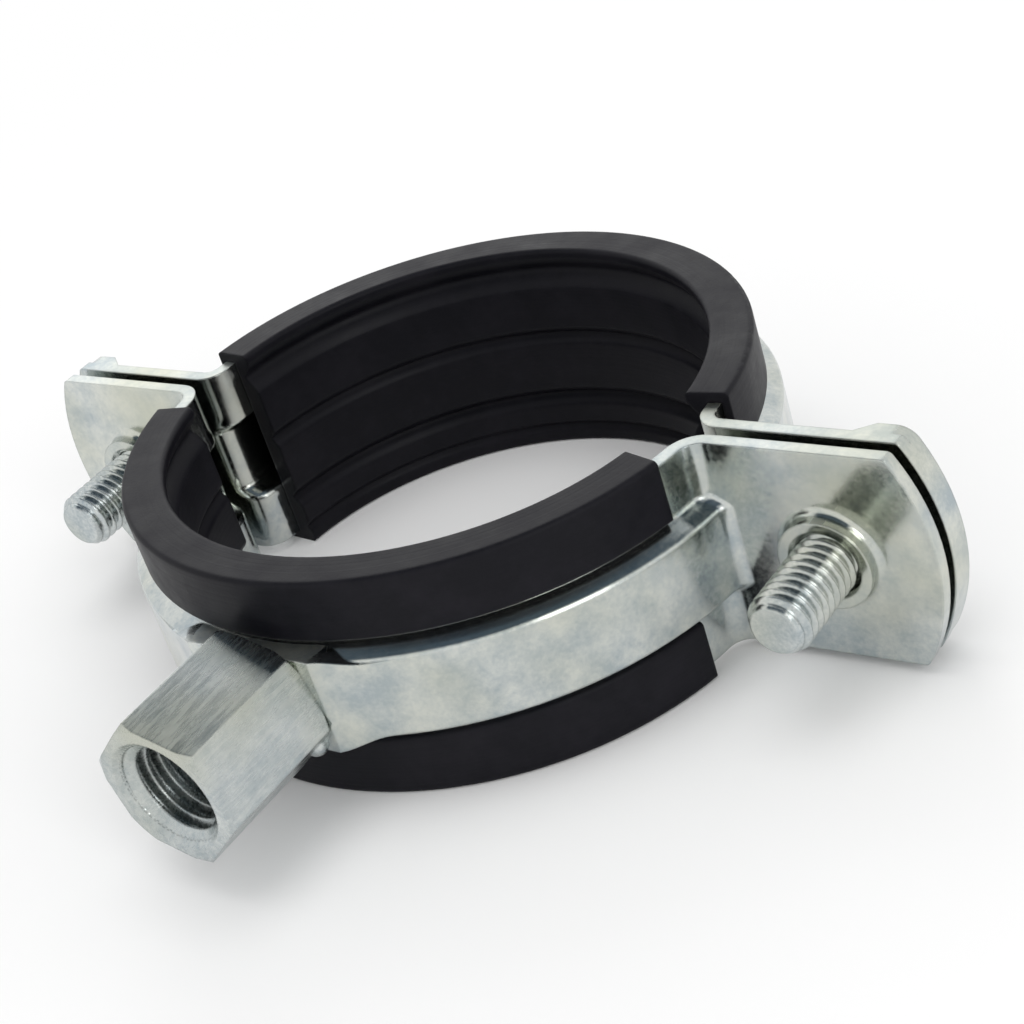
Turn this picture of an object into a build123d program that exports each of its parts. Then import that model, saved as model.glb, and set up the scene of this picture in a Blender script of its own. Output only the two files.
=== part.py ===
"""Rubber lined two-screw pipe clamp with a welded combination nut.

Frame: the pipe axis is +Z and the origin is on it, halfway across the strip.
The ears point along +X and -X, and the boss nut points along -Y. The clamp lies
on the lower edges of its rubber linings.
"""
import os
from math import acos, atan2, cos, pi, sin, sqrt

from build123d import *

# ---- driving dimensions, millimetres ------------------------------------------

# strip steel that both half bands are pressed from
strip_width = 21.0
strip_thickness = 1.3

# rubber lining
seat_radius = 26.5            # lands of the ribs, free
lining_wall = 2.1             # land to the inside of the band
lip_thickness = 0.8           # what laps over the outside of the band
lip_reach = 5.1               # how far each lip comes over the band from its edge
edge_web = 1.05               # rubber over the strip's edge
lining_clearance = 0.03
lining_corner = 0.45          # rounding of the outer corners
front_lining_end = 14.5       # degrees that the front lining stops short of X
rear_lining_end = 6.0
lip_corner = 0.36             # rounding of the lips' free edges
# grooves in the inside face: place, half width, depth
top_groove = (2.65, 1.75, 1.15)                             # in from the upper edge
middle_grooves = ((1.5, 1.0, 0.75), (-5.9, 1.15, 0.9))      # above mid-width
bottom_groove = (1.95, 0.6, 0.45)                           # in from the lower edge
groove_wall_lean = 0.35       # sideways per unit of depth where a groove's wall starts

# stiffening rib pressed along the middle of each band
rib_height = 2.0
rib_crest_half = 3.9
rib_foot_clearance = 0.05     # between the rib's foot and the lips
rib_steps = 6

# flat pad pressed in the front band under the nut, where the rib widens
pad_half_length = 7.0         # of the flat, along the strip
pad_half_width = 4.9          # of the flat, across the strip
pad_flare_start = 6.6         # the flat's sides are parallel up to here
pad_flare_end = 11.6          # and have closed to the rib's crest here
pad_rise = 0.3                # above the rib's crest

# ears
parting_offset = -1.05        # middle of the gap between the ears, along Y
ear_gap = 1.2
front_bend_radius = 2.0
rear_bend_radius = 1.2
front_rib_bend_radius = 1.2
rear_rib_bend_radius = 0.8
ear_corner_reach = 48.3       # from the pipe axis to the ear's corners
ear_end_bulge = 3.0           # how far the curved end stands past the corners
ear_corner_radius = 0.6
rim_height = 1.35             # turned-back rim at the end of the rear ears
rim_start = 43.6
rim_full = 46.6
rim_corner_radius = 2.2
rim_bend_radius = 0.6

# M6 clamping screws
screw_reach = 41.3            # screw axis from the pipe axis
screw_major = 6.0
screw_length = 16.0
screw_thread_clearance = 0.05
screw_tip_chamfer = 0.9       # along the shank
screw_tip_drop = 0.72         # and across it
screw_head_flats = 10.0
screw_head_height = 4.0
screw_head_chamfer = 0.55     # down the corners
screw_head_crown = 1.1        # and in from them
screw_slot_width = 1.6
screw_slot_depth = 1.8
cross_recess_width = 1.3
cross_recess_length = 5.0
cross_recess_depth = 2.2
washer_diameter = 12.0
washer_thickness = 1.6
washer_hole = 6.4
ear_hole = 6.6

# drawn and tapped collars on the front ears
collar_diameter = 8.8
collar_height = 1.5
collar_root_radius = 0.7
collar_mouth_chamfer = 0.45
collar_entry_radius = 0.6

# combination boss nut, M10 outside and M8 inside
nut_flats = 13.0
nut_length = 13.55
nut_turn = -15.5              # degrees about the nut's own axis
nut_chamfer = 0.7             # in from the corners, at both ends
nut_chamfer_drop = 0.42       # and along them
m10_major = 10.0
m10_depth = 8.0
m8_major = 8.0
thread_clearance = 0.05
mouth_chamfer = 0.55
weld_spot_radius = 1.15
weld_spot_sink = 0.29         # its centre lies inside the flat by this
weld_flats = (3, 5)           # which of the six flats are welded at their foot

# how far cutting shapes run past what they cut, and how near counts as the same place
cut_past = 1.0
same_place = 0.01

# ---- sizes that follow ----------------------------------------------------------

half_width = strip_width / 2
band_inner = seat_radius + lining_wall
band_outer = band_inner + strip_thickness
lining_half_width = half_width + edge_web
lip_outer = band_outer + lining_clearance + lip_thickness
lip_end = half_width - lip_reach
rib_foot_half = lip_end - rib_foot_clearance
front_ear_back = parting_offset - ear_gap / 2
front_ear_face = front_ear_back - strip_thickness
rear_ear_face = parting_offset + ear_gap / 2
rear_ear_back = rear_ear_face + strip_thickness
pad_face = band_outer + rib_height + pad_rise
screw_seat = rear_ear_back + washer_thickness
blank_reach = ear_corner_reach + ear_end_bulge + cut_past


# ---- pressed bands --------------------------------------------------------------

def skin_section(side, height, ring, ear, bend, ends=True):
    """Face between one skin of the strip and the plane of the ears' inner faces.

    side is -1 for the front half and +1 for the rear half; ring, ear and bend are
    the skin's ring radius, its ear plane and its bend radius, all measured on the
    half's own side. With ends the face runs out along the ears.
    """
    bend_x = sqrt((ring + bend) ** 2 - (ear + bend) ** 2)
    along = ring / (ring + bend)
    touch = (bend_x * along, (ear + bend) * along)
    lean = acos((ear + bend) / (ring + bend)) / 2
    middle = (bend_x - bend * sin(lean), ear + bend - bend * cos(lean))
    start = (bend_x, ear)
    lines = [
        ThreePointArc(start, middle, touch),
        ThreePointArc(touch, (0, ring), (-touch[0], touch[1])),
        ThreePointArc((-touch[0], touch[1]), (-middle[0], middle[1]), (-bend_x, ear)),
    ]
    if ends:
        base = ear - strip_thickness
        lines.append(Polyline((-bend_x, ear), (-blank_reach, ear), (-blank_reach, base),
                              (blank_reach, base), (blank_reach, ear), start))
    else:
        lines.append(Line((-bend_x, ear), start))
    face = make_face(Wire(Curve() + lines))
    if side < 0:
        face = mirror(face, about=Plane.XZ)
    return Pos(0, 0, height) * face


def pressed_volume(side, ear_skin, bend, rib_bend, inward, ends):
    """Volume under one skin of a half band, with the pressed rib raised on it.

    The rib's flanks lean, so its inside is narrower by half the strip on each side.
    """
    ring = band_outer - inward
    ear = side * ear_skin - inward
    body = extrude(skin_section(side, -half_width, ring, ear, bend + inward, ends), strip_width,
                   dir=(0, 0, 1))
    foot = rib_foot_half - inward / 2
    crest = rib_crest_half - inward / 2
    sections = []
    for step in range(rib_steps + 1):
        share = step / rib_steps
        rise = (1 - cos(pi * share)) / 2
        height = -foot + (foot - crest) * share
        sections.append((height, rise))
    sections += [(-height, rise) for height, rise in reversed(sections)]
    faces = []
    for height, rise in sections:
        radius = bend + (rib_bend - bend) * rise + inward
        faces.append(skin_section(side, height, ring + rib_height * rise, ear, radius, ends))
    return body + loft(faces, ruled=True)


def ear_outline(grow=0.0, corner=0.0):
    """Outline of the whole blank seen along Y, with its curved ear ends."""
    reach = ear_corner_reach + grow
    tall = half_width + grow
    end = ear_corner_reach + ear_end_bulge + grow
    right = ThreePointArc((reach, -tall), (end, 0), (reach, tall))
    left = ThreePointArc((-reach, tall), (-end, 0), (-reach, -tall))
    top = Line((reach, tall), (-reach, tall))
    bottom = Line((-reach, -tall), (reach, -tall))
    outline = make_face(Wire(Curve() + [right, top, left, bottom]))
    if corner > 0:
        outline = fillet(outline.vertices(), corner)
    return outline


def along_y(sketch, start, stop):
    """Sketch drawn in X and Z, extruded from one Y to another."""
    placed = Plane((0, start, 0), x_dir=(1, 0, 0), z_dir=(0, -1, 0)) * sketch
    return extrude(placed, abs(stop - start), dir=(0, 1 if stop > start else -1, 0))


def half_band(side, ear_skin, bend, rib_bend):
    """Rolled and pressed half band, before its holes."""
    outer = pressed_volume(side, ear_skin, bend, rib_bend, 0, True)
    inner = pressed_volume(side, ear_skin, bend, rib_bend, strip_thickness, False)
    blank = along_y(ear_outline(corner=ear_corner_radius), -band_outer * 2, band_outer * 2)
    return (outer & blank), inner


def pad_outline(flat, neck, length):
    """Outline of the pad seen along Y: parallel sides that close in curves to the rib."""
    middle = (pad_flare_start + pad_flare_end) / 2
    waist = (flat + neck) / 2
    upper = [
        Line((-pad_flare_start, flat), (pad_flare_start, flat)),
        Spline((pad_flare_start, flat), (middle, waist), (pad_flare_end, neck),
               tangents=((1, 0), (1, 0))),
        Line((pad_flare_end, neck), (length, neck)),
    ]
    lines = upper + [mirror(line, about=Plane.YZ) for line in upper[1:]]
    lines += [mirror(line, about=Plane.XZ) for line in lines]
    lines += [Line((end, neck), (end, -neck)) for end in (-length, length)]
    return make_face(Wire(Curve() + lines))


def pad_volume(inward):
    """Flat pad under the nut, less the strip's thickness for its inside.

    Past the flat its face runs on straight until it meets the rib's crest as a tangent.
    """
    top = pad_face - inward
    crest = band_outer + rib_height - inward
    reach = pad_half_length - inward / 2
    bearing = atan2(reach, top)
    touch = bearing + acos(crest / sqrt(reach**2 + top**2))
    end = (crest * sin(touch), -crest * cos(touch))
    bed = -(band_inner - inward) * cos(touch)
    side = make_face(Polyline(
        (-reach, -top), (reach, -top), end, (end[0], bed), (-end[0], bed), (-end[0], end[1]),
        (-reach, -top)))
    wall = extrude(Pos(0, 0, -half_width) * side, strip_width, dir=(0, 0, 1))
    outline = pad_outline(pad_half_width - inward, rib_crest_half - inward, end[0] + cut_past)
    return wall & along_y(outline, -top - cut_past, bed)


def front_band():
    """Front half: rib, pad for the nut and the drawn collars that take the screws."""
    outer, inner = half_band(-1, front_ear_face, front_bend_radius, front_rib_bend_radius)
    band = (outer + pad_volume(0)) - (inner + pad_volume(strip_thickness))
    for end in (-1, 1):
        band = add_collar(band, end * screw_reach)
    return band


def add_collar(band, x):
    """Collar drawn out of the ear towards the screw's tip, with its tapped hole."""
    outside = collar_diameter / 2
    root = collar_root_radius
    hole = screw_major / 2
    lip = front_ear_face - collar_height
    inside = front_ear_face + strip_thickness / 2
    neck = Curve() + [
        Polyline((0, inside), (outside + root, inside), (outside + root, front_ear_face)),
        ThreePointArc((outside + root, front_ear_face),
                      (outside + root * (1 - sin(pi / 4)), front_ear_face - root * (1 - cos(pi / 4))),
                      (outside, front_ear_face - root)),
        Polyline((outside, front_ear_face - root), (outside, lip), (0, lip), (0, inside)),
    ]
    collar = revolve(make_face(Wire(neck)), Axis.Y)
    mouth = hole + collar_mouth_chamfer
    entry = hole + collar_entry_radius
    quarter = collar_entry_radius * (1 - cos(pi / 4))
    bore = Curve() + [
        Polyline((0, lip - cut_past), (mouth, lip - cut_past), (mouth, lip),
                 (hole, lip + collar_mouth_chamfer), (hole, front_ear_back - collar_entry_radius)),
        ThreePointArc((hole, front_ear_back - collar_entry_radius),
                      (hole + quarter, front_ear_back - quarter),
                      (entry, front_ear_back)),
        Polyline((entry, front_ear_back), (entry, front_ear_back + cut_past),
                 (0, front_ear_back + cut_past), (0, lip - cut_past)),
    ]
    hollow = revolve(make_face(Wire(bore)), Axis.Y)
    return (band + Pos(x, 0, 0) * collar) - Pos(x, 0, 0) * hollow


def rear_band():
    """Rear half: plain holes for the screws and a turned-back rim on each ear's end."""
    outer, inner = half_band(1, rear_ear_back, rear_bend_radius, rear_rib_bend_radius)
    band = (outer + ear_rims()) - inner
    for end in (-1, 1):
        hole = Pos(end * screw_reach, 0, 0) * Circle(ear_hole / 2)
        band -= along_y(hole, rear_ear_face - cut_past, rear_ear_back + cut_past)
    return band


def ear_rims():
    """Rims turned back round the ends of the rear ears, low at their starts."""
    back = rear_ear_back + rim_height
    tray = along_y(ear_outline(corner=rim_corner_radius), rear_ear_face + rim_bend_radius, back)
    pocket = along_y(offset(ear_outline(corner=rim_corner_radius), -strip_thickness),
                     rear_ear_back, back + cut_past)
    run_up = make_face(Polyline(
        (-rim_start, rear_ear_face), (rim_start, rear_ear_face), (rim_start, rear_ear_back),
        (rim_full, back + cut_past), (-rim_full, back + cut_past), (-rim_start, rear_ear_back),
        (-rim_start, rear_ear_face)))
    middle = Pos(0, 0, -strip_width) * extrude(run_up, 2 * strip_width, dir=(0, 0, 1))
    return (tray - pocket) - middle


# ---- rubber linings -------------------------------------------------------------

def lining_profile():
    """Section of the extruded rubber, drawn as radius and height."""
    slot_inner = band_inner - lining_clearance
    slot_outer = band_outer + lining_clearance
    slot_half = half_width + lining_clearance
    body = make_face(Polyline(
        (seat_radius, lining_half_width), (lip_outer, lining_half_width), (lip_outer, lip_end),
        (slot_outer, lip_end), (slot_outer, slot_half), (slot_inner, slot_half),
        (slot_inner, -slot_half), (slot_outer, -slot_half), (slot_outer, -lip_end),
        (lip_outer, -lip_end), (lip_outer, -lining_half_width), (seat_radius, -lining_half_width),
        (seat_radius, lining_half_width)))
    top_inset, top_half, top_depth = top_groove
    bottom_inset, bottom_half, bottom_depth = bottom_groove
    body -= groove_section(lining_half_width - top_inset, top_half, top_depth)
    body -= groove_section(bottom_inset - lining_half_width, bottom_half, bottom_depth)
    for height, half, depth in middle_grooves:
        body -= groove_section(height, half, depth)
    corners = [v for v in body.vertices() if abs(abs(v.Y) - lining_half_width) < same_place]
    body = fillet(corners, lining_corner)
    lips = [v for v in body.vertices() if abs(v.X - lip_outer) + abs(abs(v.Y) - lip_end) < same_place]
    return fillet(lips, lip_corner)


def groove_section(height, half, depth):
    """Rounded groove between two lands of the lining."""
    floor = seat_radius + depth
    clear = seat_radius - cut_past
    lean = groove_wall_lean
    return make_face(Wire(Curve() + [
        Polyline((clear, height + half), (seat_radius, height + half)),
        Spline((seat_radius, height + half), (floor, height), (seat_radius, height - half),
               tangents=((lean, -1), (-lean, -1))),
        Polyline((seat_radius, height - half), (clear, height - half), (clear, height + half)),
    ]))


def lining(side, short):
    """Rubber lining of one half; its ends stop short of the ears by an angle."""
    upright = Plane.XZ * lining_profile()
    sweep = 180 - 2 * short
    start = short if side > 0 else 180 + short
    return Rot(0, 0, start) * revolve(upright, Axis.Z, revolution_arc=sweep)


# ---- boss nut -------------------------------------------------------------------

def boss_nut():
    """Hexagon combination nut, drawn along Z from its base and then laid along -Y."""
    corner = nut_flats / sqrt(3)
    hexagon = RegularPolygon(corner, 6)
    bar = extrude(hexagon, nut_length)
    drop = nut_chamfer_drop
    crown = make_face(Polyline(
        (0, 0), (corner - nut_chamfer, 0), (corner, drop), (corner, nut_length - drop),
        (corner - nut_chamfer, nut_length), (0, nut_length), (0, 0)))
    nut = bar & revolve(Plane.XZ * crown, Axis.Z)
    for flat in weld_flats:
        turn = 30 + 60 * flat
        bead = Pos(nut_flats / 2 - weld_spot_sink, 0, 0) * Sphere(weld_spot_radius)
        base = Pos(0, 0, corner) * Box(4 * corner, 4 * corner, 2 * corner)
        nut += Rot(0, 0, turn) * bead & base
    m10 = m10_major / 2 + thread_clearance
    m8 = m8_major / 2 + thread_clearance
    step = nut_length - m10_depth
    bore = make_face(Polyline(
        (0, -cut_past), (m8, -cut_past), (m8, step - (m10 - m8)), (m10, step),
        (m10, nut_length - mouth_chamfer), (m10 + mouth_chamfer, nut_length),
        (m10 + mouth_chamfer, nut_length + cut_past), (0, nut_length + cut_past), (0, -cut_past)))
    nut -= revolve(Plane.XZ * bore, Axis.Z)
    laid = Plane((0, -pad_face, 0), x_dir=(1, 0, 0), z_dir=(0, -1, 0))
    return laid * (Rot(0, 0, nut_turn) * nut)


# ---- screws and washers ---------------------------------------------------------

def clamping_screw(x):
    """M6 screw with a slotted, cross-recessed hexagon head, tip towards -Y."""
    shank = screw_major / 2 - screw_thread_clearance
    corner = screw_head_flats / sqrt(3)
    head = extrude(RegularPolygon(corner, 6), screw_head_height)
    crown = make_face(Polyline(
        (0, 0), (corner, 0), (corner, screw_head_height - screw_head_chamfer),
        (corner - screw_head_crown, screw_head_height), (0, screw_head_height), (0, 0)))
    head &= revolve(Plane.XZ * crown, Axis.Z)
    slot = Box(3 * corner, screw_slot_width, 2 * screw_slot_depth)
    arm = Box(cross_recess_length, cross_recess_width, 2 * cross_recess_depth)
    cross = slot + arm + Rot(0, 0, 90) * arm
    head -= Pos(0, 0, screw_head_height) * cross
    point = shank - screw_tip_drop
    stem = make_face(Polyline(
        (0, 0), (shank, 0), (shank, -screw_length + screw_tip_chamfer), (point, -screw_length),
        (0, -screw_length), (0, 0)))
    screw = head + revolve(Plane.XZ * stem, Axis.Z)
    return Plane((x, screw_seat, 0), x_dir=(1, 0, 0), z_dir=(0, 1, 0)) * screw


def plain_washer(x):
    """Washer between the screw's head and the rear ear."""
    ring = Circle(washer_diameter / 2) - Circle(washer_hole / 2)
    flat = Plane((x, rear_ear_back, 0), x_dir=(1, 0, 0), z_dir=(0, 1, 0))
    return flat * extrude(ring, washer_thickness)


# ---- parts ----------------------------------------------------------------------

parts = {
    "front_band": front_band(),
    "rear_band": rear_band(),
    "front_lining": lining(-1, front_lining_end),
    "rear_lining": lining(1, rear_lining_end),
    "boss_nut": boss_nut(),
    "left_screw": clamping_screw(-screw_reach),
    "right_screw": clamping_screw(screw_reach),
    "left_washer": plain_washer(-screw_reach),
    "right_washer": plain_washer(screw_reach),
}

os.makedirs("parts", exist_ok=True)
for name, shape in parts.items():
    export_step(shape, f"parts/{name}.step")
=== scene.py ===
"""Rubber lined two-screw pipe clamp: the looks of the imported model.

The frame is the clamp's own: pipe axis +Z, ears along X, boss nut along -Y, metres.
"""
from math import pi, radians

import bpy
from mathutils import Matrix, Vector


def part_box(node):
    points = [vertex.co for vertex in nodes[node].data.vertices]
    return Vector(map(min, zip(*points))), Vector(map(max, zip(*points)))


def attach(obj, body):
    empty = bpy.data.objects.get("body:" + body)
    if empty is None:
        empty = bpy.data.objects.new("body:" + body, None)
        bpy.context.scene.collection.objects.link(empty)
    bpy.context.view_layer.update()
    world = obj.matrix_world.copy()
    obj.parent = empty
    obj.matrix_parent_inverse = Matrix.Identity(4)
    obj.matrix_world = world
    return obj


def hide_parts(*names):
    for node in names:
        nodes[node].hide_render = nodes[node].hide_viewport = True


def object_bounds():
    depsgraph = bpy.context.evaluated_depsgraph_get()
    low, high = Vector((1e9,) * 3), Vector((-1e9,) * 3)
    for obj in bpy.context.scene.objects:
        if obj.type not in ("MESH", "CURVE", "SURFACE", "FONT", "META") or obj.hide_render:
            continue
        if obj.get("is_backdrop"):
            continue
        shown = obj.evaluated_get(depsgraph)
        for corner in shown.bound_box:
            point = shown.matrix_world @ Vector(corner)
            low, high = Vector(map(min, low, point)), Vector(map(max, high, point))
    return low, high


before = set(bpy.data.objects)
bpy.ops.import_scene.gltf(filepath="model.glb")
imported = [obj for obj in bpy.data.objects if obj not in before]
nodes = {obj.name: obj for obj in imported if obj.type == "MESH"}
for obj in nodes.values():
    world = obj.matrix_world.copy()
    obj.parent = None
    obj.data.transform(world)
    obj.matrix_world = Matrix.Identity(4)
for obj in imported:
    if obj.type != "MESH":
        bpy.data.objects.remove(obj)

cad_low, cad_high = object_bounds()
mm = 0.001


# ---- half bands and washers --------------------------------------------------------
# Both halves are pressed from cold rolled strip, 21 x 1.3 mm, with a rib along the
# middle. They are zinc plated and blue passivated after pressing; the front half has
# its collars drawn and tapped first. The washers are stamped and plated alike.

def linear(code):
    """An sRGB hex colour as linear red, green, blue and alpha."""
    parts = [int(code[place:place + 2], 16) / 255 for place in (1, 3, 5)]
    return [c / 12.92 if c <= 0.04045 else ((c + 0.055) / 1.055) ** 2.4 for c in parts] + [1.0]


def add(tree, kind, settings=None, links=None):
    """Adds one shader node, with values for its properties or sockets and links to its sockets."""
    node = tree.nodes.new(kind)
    for key, value in (settings or {}).items():
        if isinstance(key, int) or not hasattr(node, key):
            node.inputs[key].default_value = value
        else:
            setattr(node, key, value)
    for key, output in (links or {}).items():
        tree.links.new(output, node.inputs[key])
    return node


def started(name):
    """A new material with an empty node tree, and the place on the piece that its patterns read."""
    material = bpy.data.materials.new(name)
    material.use_nodes = True
    tree = material.node_tree
    tree.nodes.clear()
    place = add(tree, "ShaderNodeTexCoord").outputs["Object"]
    return material, tree, place


def coated(piece, finish):
    """Gives a piece this finish all over, in place of any that it has."""
    piece.data.materials.clear()
    piece.data.materials.append(finish)


def zinc(name, pale, deep, film, grain_size, run, mottle, smooth, rough, relief, sheared):
    """Bright zinc plate over steel, blue passivated.

    The plate is a satin metal: it shows clouds of warm and bluish grey a few millimetres
    across, a faint yellow film, and a fine grain, drawn out on the axes that run makes
    small, that mottles its colour and breaks up what it reflects. The real grain is too
    fine to show, so it is drawn as coarse as grain_size. Faces sheared square to Z have
    the roughness that sheared gives and look duller.
    """
    cloud_size = 4.0 * mm
    film_size = 14.0 * mm
    edge_radius = 0.28 * mm
    grain_depth = 0.05 * mm
    material, tree, place = started(name)
    stretched = add(tree, "ShaderNodeVectorMath", {"operation": "MULTIPLY", 1: run}, {0: place})
    cloud = add(tree, "ShaderNodeTexNoise",
                {"Scale": 1 / cloud_size, "Detail": 6.0, "Roughness": 0.65}, {"Vector": place})
    grain = add(tree, "ShaderNodeTexNoise",
                {"Scale": 1 / grain_size, "Detail": 3.0, "Roughness": 0.6},
                {"Vector": stretched.outputs["Vector"]})
    tint = add(tree, "ShaderNodeTexNoise", {"Scale": 1 / film_size, "Detail": 2.0}, {"Vector": place})
    blend = add(tree, "ShaderNodeMix", {"data_type": "FLOAT", 0: mottle},
                {2: cloud.outputs["Fac"], 3: grain.outputs["Fac"]})
    clouds = add(tree, "ShaderNodeMapRange", {"From Min": 0.38, "From Max": 0.62},
                 {"Value": blend.outputs[0]})
    films = add(tree, "ShaderNodeMapRange", {"From Min": 0.45, "From Max": 0.75, "To Max": 0.7},
                {"Value": tint.outputs["Fac"]})
    grey = add(tree, "ShaderNodeMix", {"data_type": "RGBA", 6: linear(deep), 7: linear(pale)},
               {0: clouds.outputs["Result"]})
    colour = add(tree, "ShaderNodeMix", {"data_type": "RGBA", 7: linear(film)},
                 {0: films.outputs["Result"], 6: grey.outputs[2]})
    geometry = add(tree, "ShaderNodeNewGeometry")
    facing = add(tree, "ShaderNodeSeparateXYZ", {}, {"Vector": geometry.outputs["True Normal"]})
    upright = add(tree, "ShaderNodeMath", {"operation": "ABSOLUTE"}, {0: facing.outputs["Z"]})
    edge = add(tree, "ShaderNodeMapRange", {"From Min": 0.985, "From Max": 0.995, "To Max": sheared},
               {"Value": upright.outputs["Value"]})
    rub = add(tree, "ShaderNodeMapRange",
              {"From Min": 0.3, "From Max": 0.7, "To Min": smooth, "To Max": rough},
              {"Value": grain.outputs["Fac"]})
    duller = add(tree, "ShaderNodeMath", {"operation": "MAXIMUM"},
                 {0: rub.outputs["Result"], 1: edge.outputs["Result"]})
    corner = add(tree, "ShaderNodeBevel", {"samples": 4, "Radius": edge_radius})
    bump = add(tree, "ShaderNodeBump", {"Strength": relief, "Distance": grain_depth},
               {"Height": grain.outputs["Fac"], "Normal": corner.outputs["Normal"]})
    shader = add(tree, "ShaderNodeBsdfPrincipled", {"Metallic": 1.0},
                 {"Base Color": colour.outputs[2], "Roughness": duller.outputs["Value"],
                  "Normal": bump.outputs["Normal"]})
    add(tree, "ShaderNodeOutputMaterial", {}, {"Surface": shader.outputs["BSDF"]})
    return material


strip_finish = zinc("zinc_plated_pressed_strip", "#d2d5d0", "#a8b2b6", "#c4c4af",
                    grain_size=0.45 * mm, run=(1, 1, 1), mottle=0.25, smooth=0.12, rough=0.22,
                    relief=0.03, sheared=0.45)
for name in ("front_band", "rear_band", "left_washer", "right_washer"):
    coated(nodes[name], strip_finish)


# ---- rubber linings ----------------------------------------------------------------
# Each lining is cut from one extruded EPDM section: a ribbed wall that grips the pipe,
# webs over the strip's two edges, and lips that snap over its outside. Nothing is glued.

def rubber(name, body, dust, smooth, rough):
    """Extruded EPDM rubber, filled with carbon black.

    It is a deep neutral black with a soft broad sheen. The die leaves fine lines round the
    ring, and a little talc and handling dust makes the faces unevenly grey. Real die lines
    and talc specks are too fine to show, so both are drawn coarser.
    """
    line_size = 0.35 * mm
    patch_size = 6.0 * mm
    speck_size = 0.3 * mm
    speck_share = 0.5
    edge_radius = 0.4 * mm
    relief_depth = 0.06 * mm
    material, tree, place = started(name)
    parts = add(tree, "ShaderNodeSeparateXYZ", {}, {"Vector": place})
    flat = add(tree, "ShaderNodeCombineXYZ", {}, {"X": parts.outputs["X"], "Y": parts.outputs["Y"]})
    radius = add(tree, "ShaderNodeVectorMath", {"operation": "LENGTH"}, {0: flat.outputs["Vector"]})
    section = add(tree, "ShaderNodeCombineXYZ", {},
                  {"X": radius.outputs["Value"], "Z": parts.outputs["Z"]})
    lines = add(tree, "ShaderNodeTexNoise", {"Scale": 1 / line_size, "Detail": 2.0},
                {"Vector": section.outputs["Vector"]})
    patch = add(tree, "ShaderNodeTexNoise",
                {"Scale": 1 / patch_size, "Detail": 5.0, "Roughness": 0.7}, {"Vector": place})
    speck = add(tree, "ShaderNodeTexNoise", {"Scale": 1 / speck_size, "Detail": 2.0}, {"Vector": place})
    dusty = add(tree, "ShaderNodeMapRange", {"From Min": 0.42, "From Max": 0.72},
                {"Value": patch.outputs["Fac"]})
    colour = add(tree, "ShaderNodeMix", {"data_type": "RGBA", 6: linear(body), 7: linear(dust)},
                 {0: dusty.outputs["Result"]})
    rub = add(tree, "ShaderNodeMapRange",
              {"From Min": 0.3, "From Max": 0.7, "To Min": smooth, "To Max": rough},
              {"Value": patch.outputs["Fac"]})
    relief = add(tree, "ShaderNodeMath", {"operation": "MULTIPLY_ADD", 1: speck_share},
                 {0: speck.outputs["Fac"], 2: lines.outputs["Fac"]})
    corner = add(tree, "ShaderNodeBevel", {"samples": 4, "Radius": edge_radius})
    bump = add(tree, "ShaderNodeBump", {"Strength": 0.3, "Distance": relief_depth},
               {"Height": relief.outputs["Value"], "Normal": corner.outputs["Normal"]})
    shader = add(tree, "ShaderNodeBsdfPrincipled", {"Specular IOR Level": 0.14},
                 {"Base Color": colour.outputs[2], "Roughness": rub.outputs["Result"],
                  "Normal": bump.outputs["Normal"]})
    add(tree, "ShaderNodeOutputMaterial", {}, {"Surface": shader.outputs["BSDF"]})
    return material


lining_finish = rubber("extruded_epdm_rubber", "#0f0f15", "#1a191f", smooth=0.38, rough=0.55)
for name in ("front_lining", "rear_lining"):
    coated(nodes[name], lining_finish)


# ---- boss nut ----------------------------------------------------------------------
# The nut is a length of 13 mm hexagon bar, bored and tapped M10 at the mouth and M8
# behind it, and welded to the pad of the front half with a bead on two of its sides.
# Its thread is cut metal, plated after tapping, so crests shine and roots stay dark.

nut_finish = zinc("zinc_plated_hexagon_bar", "#cacecc", "#a2abae", "#b9baa9",
                  grain_size=0.4 * mm, run=(1, 0.12, 1), mottle=0.4, smooth=0.2, rough=0.34,
                  relief=0.03, sheared=0.0)
coated(nodes["boss_nut"], nut_finish)
nut_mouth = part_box("boss_nut")[0].y
thread_wall = 0.15 * mm
sleeve_spare = 0.3 * mm
tap_overrun = 1.0 * mm
join_distance = 0.001 * mm
slice_distance = 0.0001 * mm


def traced(name, points):
    """A new piece with one line through the points, drawn by extruding its corner."""
    bpy.ops.object.select_all(action="DESELECT")
    bpy.ops.mesh.primitive_plane_add(size=mm)
    piece = bpy.context.object
    piece.name = name
    piece.data.name = name
    bpy.ops.object.mode_set(mode="EDIT")
    bpy.ops.mesh.select_mode(type="VERT")
    bpy.ops.mesh.select_all(action="SELECT")
    bpy.ops.mesh.merge(type="CENTER")
    bpy.ops.transform.translate(value=points[0])
    for here, there in zip(points, points[1:]):
        step = Vector(there) - Vector(here)
        bpy.ops.mesh.extrude_vertices_move(TRANSFORM_OT_translate={"value": step})
    return piece


def closed():
    """Joins the open piece's doubles in edit mode, turns its faces outwards and leaves edit mode."""
    bpy.ops.mesh.select_all(action="SELECT")
    bpy.ops.mesh.remove_doubles(threshold=join_distance)
    bpy.ops.mesh.normals_make_consistent(inside=False)
    bpy.ops.object.mode_set(mode="OBJECT")


def turned(name, profile, steps=64):
    """A solid turned about Z from its profile, given as radius and height."""
    piece = traced(name, [(radius, 0, height) for radius, height in profile])
    bpy.ops.mesh.select_all(action="SELECT")
    bpy.ops.mesh.spin(steps=steps, angle=2 * pi, center=(0, 0, 0), axis=(0, 0, 1))
    closed()
    return piece


def picked(piece):
    """Selects one piece, alone, and makes it the active one."""
    bpy.ops.object.select_all(action="DESELECT")
    bpy.context.view_layer.objects.active = piece
    piece.select_set(True)


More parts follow.
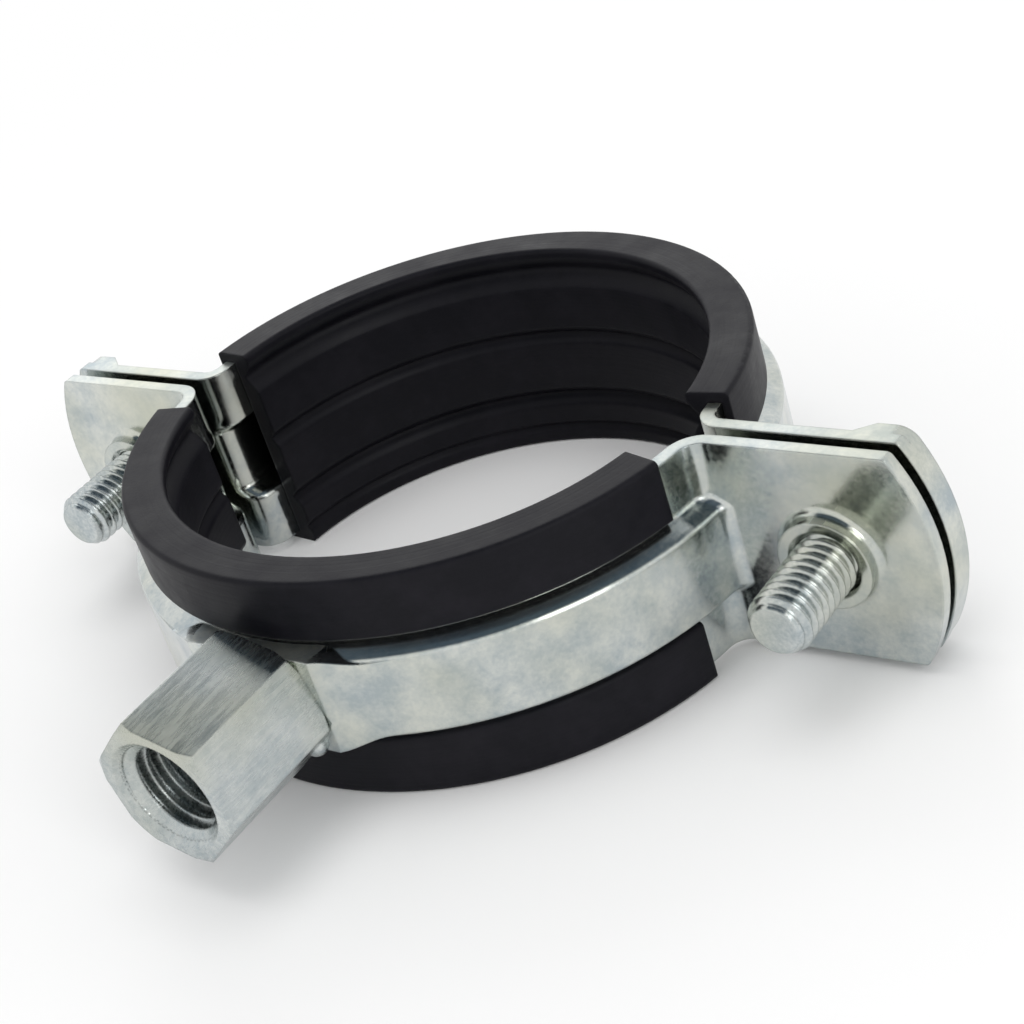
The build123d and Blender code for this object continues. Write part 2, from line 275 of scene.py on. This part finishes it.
def cut(piece, tool, operation):
    """Applies one Boolean of piece with tool, and deletes the tool."""
    picked(piece)
    change = piece.modifiers.new("cut", "BOOLEAN")
    change.operation = operation
    change.solver = "EXACT"
    change.object = tool
    bpy.ops.object.modifier_apply(modifier=change.name)
    bpy.data.objects.remove(tool)
    return piece


def threaded_bar(name, crest, root, pitch, low, high, steps=56):
    """A bar along Z with a right-hand thread, wound past low and high and cut off square there."""
    flat_root = pitch / 8
    flat_crest = pitch / 16
    half = pitch / 2
    turns_below = 2.37
    spare_turns = 4
    profile = [(root, 0), (root, flat_root), (crest, half - flat_crest), (crest, half + flat_crest),
               (root, pitch - flat_root), (root, pitch)]
    start = low - turns_below * pitch
    piece = traced(name, [(radius, 0, start + height) for radius, height in profile])
    bpy.ops.object.mode_set(mode="OBJECT")
    winding = piece.modifiers.new("winding", "SCREW")
    winding.axis = "Z"
    winding.angle = 2 * pi
    winding.screw_offset = pitch
    winding.iterations = int((high - low) / pitch) + spare_turns
    winding.steps = steps
    winding.render_steps = steps
    winding.use_merge_vertices = True
    winding.merge_threshold = join_distance
    bpy.ops.object.modifier_apply(modifier=winding.name)
    bpy.ops.object.mode_set(mode="EDIT")
    bpy.ops.mesh.select_all(action="SELECT")
    bpy.ops.mesh.remove_doubles(threshold=join_distance)
    for height, above in ((low, False), (high, True)):
        bpy.ops.mesh.select_all(action="SELECT")
        bpy.ops.mesh.bisect(plane_co=(0, 0, height), plane_no=(0, 0, 1), threshold=slice_distance,
                            clear_inner=not above, clear_outer=above)
    bpy.ops.mesh.select_all(action="SELECT")
    bpy.ops.mesh.fill_holes(sides=0)
    closed()
    return piece


def tapped_sleeve(name, crest, root, pitch, deep, rim, lip):
    """The inside thread of a bore, as a sleeve let into its wall; depths run from the nut's mouth.

    crest is the bore's own wall and root the thread's inner edge. The sleeve ends at rim on its
    outside and at lip on its inside, which is how a countersink slopes.
    """
    inside = root - sleeve_spare
    outside = crest + thread_wall
    sleeve = turned(name, [(inside, -deep), (outside, -deep), (outside, -rim), (inside, -lip),
                           (inside, -deep)])
    tap = threaded_bar("tap", crest, root, pitch, -deep - tap_overrun, tap_overrun)
    return cut(sleeve, tap, "DIFFERENCE")


def placed(piece, turn, spot):
    """Turns a piece from its own Z axis and puts it at its spot, with both in its mesh."""
    picked(piece)
    piece.rotation_euler = turn
    piece.location = spot
    bpy.ops.object.transform_apply(location=True, rotation=True, scale=True)


def dressed(piece, finish, body, sharp=32):
    """Gives a new piece its finish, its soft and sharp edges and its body."""
    coated(piece, finish)
    picked(piece)
    bpy.ops.object.shade_smooth_by_angle(angle=radians(sharp))
    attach(piece, body)


m10_thread = tapped_sleeve("m10_thread", crest=5.05 * mm, root=4.2 * mm, pitch=1.5 * mm,
                           deep=8.0 * mm, rim=0.4 * mm, lip=1.7 * mm)
m8_thread = tapped_sleeve("m8_thread", crest=4.05 * mm, root=3.35 * mm, pitch=1.25 * mm,
                          deep=13.5 * mm, rim=9.05 * mm, lip=9.05 * mm)
for thread in (m10_thread, m8_thread):
    placed(thread, (radians(90), 0, 0), (0, nut_mouth, 0))
    dressed(thread, nut_finish, "front_half")


# ---- clamping screws ---------------------------------------------------------------
# Two M6 x 16 machine screws, cold headed with a 10 mm hexagon, a slot and a cross
# recess, thread rolled and zinc plated. They pass the washers and the rear ears' plain
# holes, and turn in the tapped collars of the front ears.

screw_finish = zinc("zinc_plated_machine_screw", "#d0d4d2", "#a4aeb2", "#bebeab",
                    grain_size=0.35 * mm, run=(1, 1, 1), mottle=0.4, smooth=0.12, rough=0.24,
                    relief=0.05, sheared=0.0)
screw_pitch = 1.0 * mm
screw_crest = 2.95 * mm
screw_root = 2.42 * mm
screw_length = 16.0 * mm
shank_overlap = 0.3 * mm
tip_chamfer = 0.9 * mm
tip_drop = 0.72 * mm
head_height = 4.0 * mm
head_corner = 5.7735 * mm
head_crown = 1.1 * mm
head_chamfer = 0.55 * mm
corner_clear = 0.01 * mm
bearing_gap = 0.01 * mm
bearing_drop = 0.2 * mm
bearing_rise = 0.25 * mm
slot_width = 1.6 * mm
slot_depth = 1.8 * mm
cross_width = 1.3 * mm
cross_length = 5.0 * mm
cross_depth = 2.2 * mm
cross_taper = 0.55


def recess(name, long, wide, deep, taper):
    """A cutter for one arm of a recess in the head's top, its floor shorter by the taper."""
    bpy.ops.object.select_all(action="DESELECT")
    bpy.ops.mesh.primitive_cube_add(size=1, location=(0, 0, head_height), scale=(long, wide, 2 * deep))
    piece = bpy.context.object
    piece.name = name
    bpy.ops.object.transform_apply(location=True, rotation=True, scale=True)
    bpy.ops.object.mode_set(mode="EDIT")
    bpy.ops.mesh.select_mode(type="VERT")
    bpy.ops.mesh.select_all(action="DESELECT")
    bpy.ops.object.mode_set(mode="OBJECT")
    for corner in piece.data.vertices:
        corner.select = corner.co.z < head_height
    bpy.ops.object.mode_set(mode="EDIT")
    bpy.ops.transform.resize(value=(taper, 1, 1), center_override=(0, 0, 0))
    bpy.ops.object.mode_set(mode="OBJECT")
    return piece


def machine_screw(name):
    """A whole screw along Z, the head's bearing face at height 0 and the tip below it."""
    shank = threaded_bar(name, screw_crest, screw_root, screw_pitch, -screw_length, shank_overlap)
    blank = turned("blank", [(0, -screw_length), (screw_crest - tip_drop, -screw_length),
                             (screw_crest, -screw_length + tip_chamfer),
                             (screw_crest, -screw_length / 2),
                             (screw_crest, shank_overlap), (0, shank_overlap)])
    shank = cut(shank, blank, "INTERSECT")
    bpy.ops.object.select_all(action="DESELECT")
    bpy.ops.mesh.primitive_cylinder_add(vertices=6, radius=head_corner, depth=head_height,
                                        location=(0, 0, head_height / 2), rotation=(0, 0, radians(30)))
    head = bpy.context.object
    bpy.ops.object.transform_apply(location=True, rotation=True, scale=True)
    crown = turned("crown", [(0, bearing_gap), (head_corner - bearing_drop, bearing_gap),
                             (head_corner + corner_clear, bearing_rise),
                             (head_corner + corner_clear, head_height - head_chamfer),
                             (head_corner - head_crown, head_height), (0, head_height)])
    head = cut(head, crown, "INTERSECT")
    head = cut(head, recess("slot", 3 * head_corner, slot_width, slot_depth, 1.0), "DIFFERENCE")
    for turn in (0, 90):
        arm = recess("arm", cross_length, cross_width, cross_depth, cross_taper)
        placed(arm, (0, 0, radians(turn)), (0, 0, 0))
        head = cut(head, arm, "DIFFERENCE")
    return cut(shank, head, "UNION")


first_screw = machine_screw("left_clamping_screw")
second_screw = first_screw.copy()
second_screw.data = first_screw.data.copy()
second_screw.name = "right_clamping_screw"
bpy.context.scene.collection.objects.link(second_screw)
for piece, node in ((first_screw, "left_screw"), (second_screw, "right_screw")):
    low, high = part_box(node)
    seat = high.y - head_height
    placed(piece, (radians(-90), 0, 0), ((low.x + high.x) / 2, seat, 0))
    dressed(piece, screw_finish, node)
    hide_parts(node)


# ---- floor, light and camera -------------------------------------------------------
# A plain white floor that holds the clamp's shadow and runs out to pure white, under a
# large softbox overhead, one low at the back left and a small one at the right. A dark
# flag above, which only reflections see, gives the metal its form.

def stage_board(name, size, spot, aim):
    """A flat board at its spot, facing its aim."""
    bpy.ops.object.select_all(action="DESELECT")
    bpy.ops.mesh.primitive_plane_add(size=size)
    board = bpy.context.object
    board.name = name
    board.location = spot
    board.rotation_mode = "QUATERNION"
    board.rotation_quaternion = (Vector(aim) - Vector(spot)).to_track_quat("Z", "Y")
    board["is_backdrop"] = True
    return board


def background_rays(tree):
    """A value of 1 on the rays that show a background: the camera's, reflected and let through."""
    path = add(tree, "ShaderNodeLightPath")
    seen = add(tree, "ShaderNodeMath", {"operation": "MAXIMUM"},
               {0: path.outputs["Is Camera Ray"], 1: path.outputs["Is Glossy Ray"]})
    shown = add(tree, "ShaderNodeMath", {"operation": "MAXIMUM"},
                {0: seen.outputs["Value"], 1: path.outputs["Is Transmission Ray"]})
    return shown.outputs["Value"]


floor_size = 6.0
floor_level = cad_low.z - 0.02 * mm
shadow_reach = 70 * mm
white_from = 220 * mm
floor = stage_board("floor", floor_size, (0, 0, floor_level), (0, 0, 1))
paint, tree, place = started("matt_white_floor")
away = add(tree, "ShaderNodeVectorMath", {"operation": "LENGTH"}, {0: place})
faded = add(tree, "ShaderNodeMapRange",
            {"interpolation_type": "SMOOTHSTEP", "From Min": shadow_reach, "From Max": white_from},
            {"Value": away.outputs["Value"]})
share = add(tree, "ShaderNodeMath", {"operation": "MULTIPLY"},
            {0: background_rays(tree), 1: faded.outputs["Result"]})
matt = add(tree, "ShaderNodeBsdfPrincipled",
           {"Base Color": linear("#fafafa"), "Roughness": 0.9, "Specular IOR Level": 0.0})
white = add(tree, "ShaderNodeEmission", {"Color": linear("#ffffff"), "Strength": 1.0})
surface = add(tree, "ShaderNodeMixShader", {},
              {0: share.outputs["Value"], 1: matt.outputs["BSDF"], 2: white.outputs["Emission"]})
add(tree, "ShaderNodeOutputMaterial", {}, {"Surface": surface.outputs["Shader"]})
coated(floor, paint)

flag_size = 0.70
flag_spot = (0.0, -0.05, 0.50)
flag_paint = bpy.data.materials.new("blue_black_flag_cloth")
flag_paint.use_nodes = True
flag_shader = flag_paint.node_tree.nodes["Principled BSDF"]
flag_shader.inputs["Base Color"].default_value = linear("#56636f")
flag_shader.inputs["Roughness"].default_value = 1.0
flag_shader.inputs["Specular IOR Level"].default_value = 0.0
flag = stage_board("flag_top", flag_size, flag_spot, (0, 0, 0))
coated(flag, flag_paint)
flag.visible_camera = False
flag.visible_diffuse = False
flag.visible_shadow = False
flag.visible_transmission = False

# Each lamp's name, side in metres, power in watts, place, and whether metal mirrors it.
lamps = (
    ("softbox_top", 0.80, 3.0, (0.0, -0.05, 1.10), False),
    ("softbox_back_left", 0.50, 0.9, (-0.47, 0.50, 0.41), True),
    ("strip_light_right", 0.28, 1.0, (0.56, -0.26, 0.40), True),
)
for name, size, power, spot, mirrored in lamps:
    light = bpy.data.lights.new(name, "AREA")
    light.size = size
    light.energy = power
    lamp = bpy.data.objects.new(name, light)
    lamp.location = spot
    lamp.rotation_mode = "QUATERNION"
    lamp.rotation_quaternion = (-Vector(spot)).to_track_quat("-Z", "Y")
    lamp.visible_glossy = mirrored
    bpy.context.scene.collection.objects.link(lamp)

ambient = 0.70
world = bpy.data.worlds.new("white_studio")
bpy.context.scene.world = world
world.use_nodes = True
tree = world.node_tree
tree.nodes.clear()
strength = add(tree, "ShaderNodeMapRange", {"To Min": ambient, "To Max": 1.0},
               {"Value": background_rays(tree)})
backdrop = add(tree, "ShaderNodeBackground", {"Color": linear("#ffffff")},
               {"Strength": strength.outputs["Result"]})
add(tree, "ShaderNodeOutputWorld", {}, {"Surface": backdrop.outputs["Background"]})

camera_spot = Vector((129.354, -132.047, 104.428)) * mm
camera_aim = Vector((3.758, 1.200, -2.908)) * mm
camera_roll = radians(-18.28)
lens = bpy.data.cameras.new("camera")
lens.sensor_width = 36.0
lens.lens = 77.437
lens.clip_start = 0.01
lens.clip_end = 20.0
camera = bpy.data.objects.new("camera", lens)
bpy.context.scene.collection.objects.link(camera)
ahead = (camera_aim - camera_spot).normalized()
level = ahead.to_track_quat("-Z", "Y").to_matrix().to_4x4()
camera.matrix_world = Matrix.Translation(camera_spot) @ level @ Matrix.Rotation(camera_roll, 4, "Z")
bpy.context.scene.camera = camera
bpy.context.scene.view_settings.view_transform = "Standard"

low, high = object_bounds()
